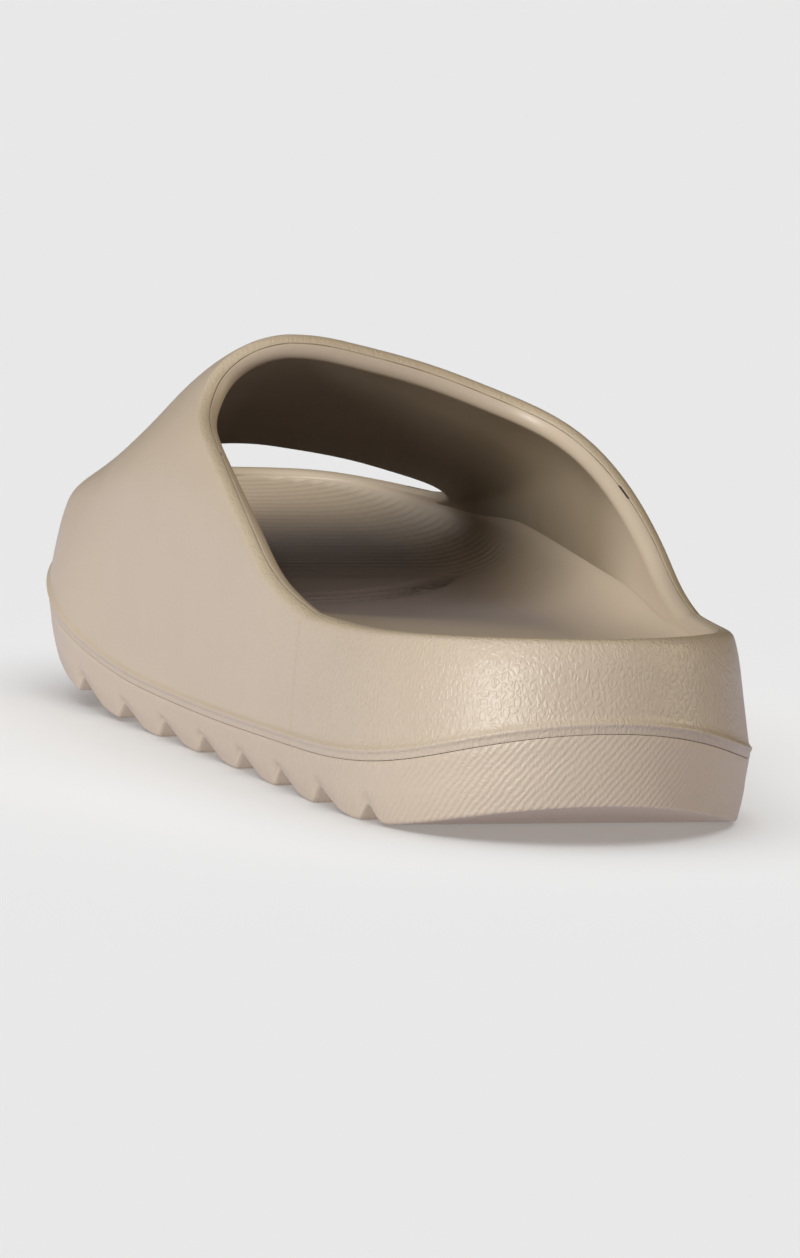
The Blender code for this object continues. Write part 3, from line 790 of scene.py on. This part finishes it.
def buildGrainGroup():
    tree, given, result = newGroup(
        "mouldGrain", {"Place": "Vector", "Size": "Float", "Stretch": "Float"}, "Height", "Float")
    upright = addNode(tree, "ShaderNodeCombineXYZ", {"X": 1.0, "Y": 1.0, "Z": given["Stretch"]}).outputs[0]
    tall = addNode(tree, "ShaderNodeVectorMath", {0: given["Place"], 1: upright}, operation="MULTIPLY")
    cells = mathNode(tree, "DIVIDE", 1.0, given["Size"])
    scaled = addNode(tree, "ShaderNodeVectorMath", {0: tall.outputs[0], "Scale": cells},
                     operation="SCALE").outputs[0]
    wander = noiseNode(tree, scaled, grainLook["wanderScale"], 2.0)["Color"]
    bent = addNode(tree, "ShaderNodeVectorMath", {0: wander, 1: (grainLook["wander"],) * 3, 2: scaled},
                   operation="MULTIPLY_ADD")
    cell = addNode(tree, "ShaderNodeTexVoronoi", {"Vector": bent.outputs[0], "Scale": 1.0},
                   feature="DISTANCE_TO_EDGE")
    pebble = rampNode(tree, cell.outputs["Distance"], grainLook["groove"])
    fine = noiseNode(tree, scaled, grainLook["fineScale"], 2.0)["Fac"]
    height = mathNode(tree, "MULTIPLY_ADD", fine, grainLook["fineShare"],
                      timesNode(tree, pebble, grainLook["pebbleShare"]))
    tree.links.new(height, result["Height"])
    return tree


# fine slanted ribs that run round the side of the sole
ribLook = {
    "wanderScale": 260.0,
    "wander": 0.0011,
}


def buildRibGroup():
    tree, given, result = newGroup(
        "slantRibs", {"Place": "Vector", "Pitch": "Float", "Slant": "Float"}, "Height", "Float")
    parts = addNode(tree, "ShaderNodeSeparateXYZ", {0: given["Place"]}).outputs
    slant = mathNode(tree, "RADIANS", given["Slant"])
    along = timesNode(tree, parts["X"], mathNode(tree, "SINE", slant))
    up = timesNode(tree, parts["Y"], mathNode(tree, "COSINE", slant))
    wander = noiseNode(tree, given["Place"], ribLook["wanderScale"], 1.0)["Fac"]
    shifted = mathNode(tree, "MULTIPLY_ADD", wander, ribLook["wander"], mathNode(tree, "ADD", along, up))
    turned = mathNode(tree, "DIVIDE", timesNode(tree, shifted, 2 * math.pi), given["Pitch"])
    wave = mathNode(tree, "MULTIPLY_ADD", mathNode(tree, "SINE", turned), 0.5, 0.5)
    tree.links.new(wave, result["Height"])
    return tree


# slow drift of the moulded colour, with fine specks
driftLook = {
    "slowScale": 38.0,
    "speckScale": 900.0,
    "speckShare": 0.5,
    "middle": 0.75,
    "swing": 2.0,
}


def buildDriftGroup():
    tree, given, result = newGroup(
        "colourDrift", {"Place": "Vector", "Colour": "Color", "Amount": "Float"}, "Colour", "Color")
    slow = noiseNode(tree, given["Place"], driftLook["slowScale"], 3.0)["Fac"]
    speck = noiseNode(tree, given["Place"], driftLook["speckScale"], 1.0)["Fac"]
    both = mathNode(tree, "ADD", slow, timesNode(tree, speck, driftLook["speckShare"]))
    swing = timesNode(tree, mathNode(tree, "SUBTRACT", both, driftLook["middle"]), given["Amount"])
    value = mathNode(tree, "MULTIPLY_ADD", swing, driftLook["swing"], 1.0)
    drift = addNode(tree, "ShaderNodeHueSaturation", {"Value": value, "Color": given["Colour"]})
    tree.links.new(drift.outputs["Color"], result["Colour"])
    return tree


groups = {"grain": buildGrainGroup(), "ribs": buildRibGroup(), "drift": buildDriftGroup()}


def placeGroup(tree, name, inputs):
    return addNode(tree, "ShaderNodeGroup", inputs, node_tree=groups[name]).outputs[0]


def startFoam(name):
    material = bpy.data.materials.new(name)
    material.use_nodes = True
    tree = material.node_tree
    surface = tree.nodes["Principled BSDF"].inputs
    surface["Roughness"].default_value = foamLook["roughness"]
    place = addNode(tree, "ShaderNodeTexCoord").outputs["Object"]
    parts = addNode(tree, "ShaderNodeSeparateXYZ", {0: place}).outputs
    return material, tree, surface, place, parts


def driftNode(tree, place, colour):
    return placeGroup(tree, "drift", {"Place": place, "Colour": opaque(colour), "Amount": foamLook["mottle"]})


def finishFoam(tree, surface, colour, height):
    tree.links.new(colour, surface["Base Color"])
    bump = addNode(tree, "ShaderNodeBump", {"Height": height, "Strength": 1.0, "Distance": 1.0})
    tree.links.new(bump.outputs["Normal"], surface["Normal"])


def mapParts(tree, name):
    place = addNode(tree, "ShaderNodeUVMap", uv_map=name).outputs[0]
    return place, addNode(tree, "ShaderNodeSeparateXYZ", {0: place}).outputs


# limits along the shoe are metres in front of its middle, limits over an edge run from 0 outside to 1 inside
upperPaint = {
    "outside": (0.44, 0.38),
    "inside": (0.80, 1.0),
    "walls": (0.02, 0.0),
    "heelward": (-0.02, -0.115),
    "medial": (0.0, -0.01),
    "grainStretch": 0.58,  # the cells of the grain stand upright
    "flankGrain": 0.00002,
    "edgeGrain": 0.00005,
    "edgeBand": (0.02, 0.12),
    "edgeFade": (1.0, 0.6),
    "scuffScale": 60.0,
    "scuffs": (0.3, 0.7),
    "scuffSwing": 0.03,
    "heelGloss": -0.05,  # the heel is the glossiest
    "edgeShade": (0.43, 0.345, 0.225),  # the outer part of the edge is yellower than the walls
    "edgeTint": (0.10, 0.24),
    "edgeShare": 0.55,
    "mouldLineAt": -0.069,  # a faint mould line up the medial flank, painted as a darker, yellower line for the shading of its small ridge
    "mouldLineWidth": (0.0012, 0.0003),
    "mouldLinePaintedShade": (0.43, 0.33, 0.20),
    "mouldLineShare": 0.30,
    "partingWidth": (0.016, 0.004),  # painted shade: the parting groove is darker where it has opened
    "partingScale": 130.0,
    "partingOpen": (0.38, 0.62),
    "partingShares": (0.15, 0.95),
    "partingPaintedShade": (0.26, 0.20, 0.14),
    "nickAt": 0.45,  # and nicked in a few places, each nick painted with the shade colour of a hollow
    "nickWidth": (0.04, 0.015),
    "nickScale": 95.0,
    "nicks": (0.70, 0.74),
    "strapFrom": (-0.03, 0.01),
    "strapPaintedShade": (0.27, 0.21, 0.145),  # painted shade: the inside of the strap is darkened, as where little light gets under it
}


def upperFoam():
    material, tree, surface, place, parts = startFoam("upperFoam")
    paint, over = upperPaint, mapParts(tree, "edgeMap")[1]["Y"]
    outside = rampNode(tree, over, paint["outside"])
    heelward = rampNode(tree, parts["Y"], paint["heelward"])

    base, swing = foamLook["roughness"], paint["scuffSwing"]
    scuffed = noiseNode(tree, place, paint["scuffScale"], 1.0)["Fac"]
    gloss = rampNode(tree, scuffed, paint["scuffs"], (base - swing, base + swing))
    worn = mathNode(tree, "MULTIPLY_ADD", heelward, paint["heelGloss"], gloss)
    tree.links.new(worn, surface["Roughness"])

    # the grain fades along the flank; the rounded edge has more of it as far as the parting line
    grain = placeGroup(tree, "grain", {
        "Place": place, "Size": foamLook["grainSize"], "Stretch": paint["grainStretch"]})
    heelExtra = foamLook["grainDepth"] - paint["flankGrain"]
    depth = mathNode(tree, "MULTIPLY_ADD", heelward, heelExtra, paint["flankGrain"])
    onEdge = rampNode(tree, over, paint["edgeBand"])
    onEdge = timesNode(tree, onEdge, rampNode(tree, heelward, paint["edgeFade"]))
    depth = mathNode(tree, "MULTIPLY_ADD", onEdge, paint["edgeGrain"], depth)
    height = timesNode(tree, grain, depth, outside)

    colour = driftNode(tree, place, foamLook["colour"])
    yellow = timesNode(tree, rampNode(tree, over, paint["edgeTint"]), outside, paint["edgeShare"])
    colour = mixNode(tree, yellow, colour, paint["edgeShade"])
    onWall, onFlank = rampNode(tree, over, paint["walls"]), rampNode(tree, parts["X"], paint["medial"])
    # painted shade of the mould line's ridge, with no ridge in the surface
    line = rampNode(tree, awayNode(tree, parts["Y"], paint["mouldLineAt"]), paint["mouldLineWidth"])
    mould = timesNode(tree, line, timesNode(tree, onWall, onFlank), paint["mouldLineShare"])
    colour = mixNode(tree, mould, colour, paint["mouldLinePaintedShade"])
    # painted shade in the parting groove, stronger where noise says it has opened
    parting = rampNode(tree, awayNode(tree, over, upperLook["partingAngle"] / 180), paint["partingWidth"])
    opened = noiseNode(tree, place, paint["partingScale"], 2.0)["Fac"]
    shade = timesNode(tree, parting, rampNode(tree, opened, paint["partingOpen"], paint["partingShares"]))
    colour = mixNode(tree, shade, colour, paint["partingPaintedShade"])
    # nicks: small chips, painted with the shade colour where their hollows would be in shadow
    chips = rampNode(tree, noiseNode(tree, place, paint["nickScale"], 0.0)["Fac"], paint["nicks"])
    nick = timesNode(tree, rampNode(tree, awayNode(tree, over, paint["nickAt"]), paint["nickWidth"]), chips)
    colour = mixNode(tree, nick, colour, foamLook["dark"])
    # painted shade on the inside walls under the strap
    inside, underStrap = rampNode(tree, over, paint["inside"]), rampNode(tree, parts["Y"], paint["strapFrom"])
    colour = mixNode(tree, timesNode(tree, inside, underStrap), colour, paint["strapPaintedShade"])
    finishFoam(tree, surface, colour, height)
    return material


footbedPaint = {
    "paintedFootbedShadow": (0.33, 0.275, 0.252),  # painted shadow: a greyer, darker tone under the foot's arch and ball, where the strap and the medial wall shade the footbed
    "deepAcross": (0.95, 0.45),
    "deepFrom": (-0.075, -0.005),
    "deepTo": (0.128, 0.085),
    "ribPaintedShade": 0.22,
    "foldPaintedShade": 0.85,
    "grainSize": 0.0007,
    "grainDepth": 0.00001,
}


# on the footbed edgeMap holds how far the ribs and the folds have sunk
def footbedFoam():
    material, tree, surface, place, parts = startFoam("footbedFoam")
    paint, across, sunk = footbedPaint, mapParts(tree, "shoeMap")[1]["X"], mapParts(tree, "edgeMap")[1]
    # painted shadow of the strap over the middle of the footbed
    middle = rampNode(tree, mathNode(tree, "ABSOLUTE", across), paint["deepAcross"])
    fromHeel = rampNode(tree, parts["Y"], paint["deepFrom"])
    toToe = rampNode(tree, parts["Y"], paint["deepTo"])
    deep = timesNode(tree, middle, timesNode(tree, fromHeel, toToe))
    colour = mixNode(tree, deep, foamLook["colour"], paint["paintedFootbedShadow"])
    # painted shade: the ribs and folds are darkened in step with how far they have sunk
    for axis, share in (("X", paint["ribPaintedShade"]), ("Y", paint["foldPaintedShade"])):
        colour = mixNode(tree, timesNode(tree, sunk[axis], share), colour, foamLook["dark"])
    grain = placeGroup(tree, "grain", {"Place": place, "Size": paint["grainSize"], "Stretch": 1.0})
    finishFoam(tree, surface, driftNode(tree, place, colour), timesNode(tree, grain, paint["grainDepth"]))
    return material


solePaint = {
    "heelward": (0.02, -0.10),
    "flankShare": 0.35,  # how much of the relief is left along the flank
    "grainSize": 0.000896,
    "grainStretch": 0.8,
    "grainDepth": 0.0000425,
    "ribPitch": 0.00125,
    "ribSlant": 48.0,
    "ribHeight": 0.00007,
}


def soleFoam():
    material, tree, surface, place, parts = startFoam("soleFoam")
    paint = solePaint
    heelward = rampNode(tree, parts["Y"], paint["heelward"], (paint["flankShare"], 1.0))
    grain = placeGroup(tree, "grain", {
        "Place": place, "Size": paint["grainSize"], "Stretch": paint["grainStretch"]})
    ribs = placeGroup(tree, "ribs", {
        "Place": mapParts(tree, "shoeMap")[0], "Pitch": paint["ribPitch"], "Slant": paint["ribSlant"]})
    ribs = timesNode(tree, ribs, paint["ribHeight"])
    height = mathNode(tree, "MULTIPLY_ADD", grain, paint["grainDepth"], ribs)
    finishFoam(tree, surface, driftNode(tree, place, foamLook["colour"]), timesNode(tree, height, heelward))
    return material


upper = buildUpper(upperFoam())
insole = buildInsole(footbedFoam())
sole = buildSole(soleFoam())
print("pieces built with their foam")


# studio
studio = {
    "floor": (0.80, 0.80, 0.80),
    "floorRoughness": 0.9,
    "floorBounce": (0.52, 0.53, 0.66),  # what the shoe sees of it, dimmer than the camera's view
    "floorSize": 30.0,
    "air": (1.0, 1.0, 1.0),
    "airStrength": 0.0,
    # strength, spread in degrees, degrees right of the heel's axis, degrees up, colour
    "floorWash": (1.65, 100.0, 0.0, 90.0, (1.0, 1.0, 1.0)),
    "floorHaze": (1.52, 100.0, 0.0, 90.0, (1.0, 1.0, 1.0)),  # the part of the wash that no shadow takes away
    "shoeLights": {
        "softKey": (2.72, 24.0, -60.0, 12.0, (0.98, 0.99, 0.95)),
        "warmFill": (1.05, 34.0, 80.0, 20.0, (1.0, 0.88, 0.62)),
        "strapGlow": (0.95, 60.0, -88.0, 55.0, (0.98, 0.99, 1.0)),
        "bowlGlow": (0.36, 40.0, -35.0, 40.0, (1.0, 0.98, 0.94)),
        "openGlow": (0.42, 45.0, 10.0, 40.0, (1.0, 0.96, 0.88)),
    },
    "soleGlow": (1.1, 70.0, -18.0, -55.0, (1.0, 0.97, 0.95)),  # what a lit table sends up under the heel
}


# a sun that lights only some objects
def addSun(name, sun, receivers):
    strength, angle, azimuth, rise, colour = sun
    lamp = bpy.data.lights.new(name, "SUN")
    lamp.energy = strength
    lamp.color = colour
    lamp.angle = math.radians(angle)
    turn, up = math.radians(azimuth), math.radians(rise)
    source = Vector((math.sin(turn) * math.cos(up), -math.cos(turn) * math.cos(up), math.sin(up)))
    holder = bpy.data.objects.new(name, lamp)
    holder.rotation_euler = source.to_track_quat("Z", "Y").to_euler()
    bpy.context.scene.collection.objects.link(holder)
    lit = bpy.data.collections.new(name + "Lit")
    for piece in receivers:
        lit.objects.link(piece)
    holder.light_linking.receiver_collection = lit
    return holder


def buildStudio(pieces):
    mesh = bmesh.new()
    bmesh.ops.create_grid(mesh, x_segments=8, y_segments=8, size=studio["floorSize"])
    data = bpy.data.meshes.new("studioFloor")
    mesh.to_mesh(data)
    mesh.free()
    material = bpy.data.materials.new("studioFloorPaint")
    material.use_nodes = True
    tree = material.node_tree
    surface = tree.nodes["Principled BSDF"].inputs
    seen = addNode(tree, "ShaderNodeLightPath").outputs["Is Camera Ray"]
    tree.links.new(mixNode(tree, seen, studio["floorBounce"], studio["floor"]), surface["Base Color"])
    surface["Roughness"].default_value = studio["floorRoughness"]
    surface["Specular IOR Level"].default_value = 0.0
    data.materials.append(material)
    floor = bpy.data.objects.new("studioFloor", data)
    bpy.context.scene.collection.objects.link(floor)
    floor.visible_shadow = False  # so that soleGlow comes up through it
    world = bpy.data.worlds.new("studioAir")
    bpy.context.scene.world = world
    world.use_nodes = True
    sky = world.node_tree.nodes["Background"]
    sky.inputs["Color"].default_value = opaque(studio["air"])
    sky.inputs["Strength"].default_value = studio["airStrength"]
    addSun("floorWash", studio["floorWash"], [floor])
    haze = addSun("floorHaze", studio["floorHaze"], [floor])
    haze.light_linking.blocker_collection = haze.light_linking.receiver_collection
    for name, sun in studio["shoeLights"].items():
        addSun(name, sun, pieces)
    addSun("soleGlow", studio["soleGlow"], pieces[-1:])
    print("studio lit")


photoView = {
    "target": (0.00197, 0.0, 0.030),
    "azimuth": 16.3,  # degrees to the left of the heel's axis
    "elevation": 6.4,
    "roll": 1.85,
    "distance": 1.65,
    "focal": 7953.0,  # in pixels of the photo's height
    "height": 1258,
    "sensor": 36.0,
    "aim": (-0.03, -0.17),
}


# looks from the photo's side at the target, a little beside it and rolled
def buildCamera():
    theta, rise = math.radians(photoView["azimuth"]), math.radians(photoView["elevation"])
    back = Vector((-math.sin(theta) * math.cos(rise), -math.cos(theta) * math.cos(rise), math.sin(rise)))
    ahead = -back
    right = ahead.cross(Vector((0, 0, 1))).normalized()
    up = right.cross(ahead)
    aim = [math.tan(math.radians(value)) for value in photoView["aim"]]
    ahead = (ahead + right * aim[0] + up * aim[1]).normalized()
    right = ahead.cross(Vector((0, 0, 1))).normalized()
    up = right.cross(ahead)
    roll = math.radians(photoView["roll"])
    turnedRight = right * math.cos(roll) + up * math.sin(roll)
    turnedUp = up * math.cos(roll) - right * math.sin(roll)
    lens = bpy.data.cameras.new("photoCamera")
    lens.sensor_fit = "VERTICAL"
    lens.sensor_height = photoView["sensor"]
    lens.sensor_width = photoView["sensor"]
    lens.lens = photoView["focal"] / photoView["height"] * lens.sensor_height
    camera = bpy.data.objects.new("photoCamera", lens)
    turned = Matrix((turnedRight, turnedUp, -ahead)).transposed().to_4x4()
    stand = Vector(photoView["target"]) + back * photoView["distance"]
    camera.matrix_world = Matrix.Translation(stand) @ turned
    bpy.context.scene.collection.objects.link(camera)
    bpy.context.scene.camera = camera
    print("camera placed")


buildStudio([upper, insole, sole])
buildCamera()
bpy.context.scene.view_settings.view_transform = "Standard"
bpy.context.view_layer.update()
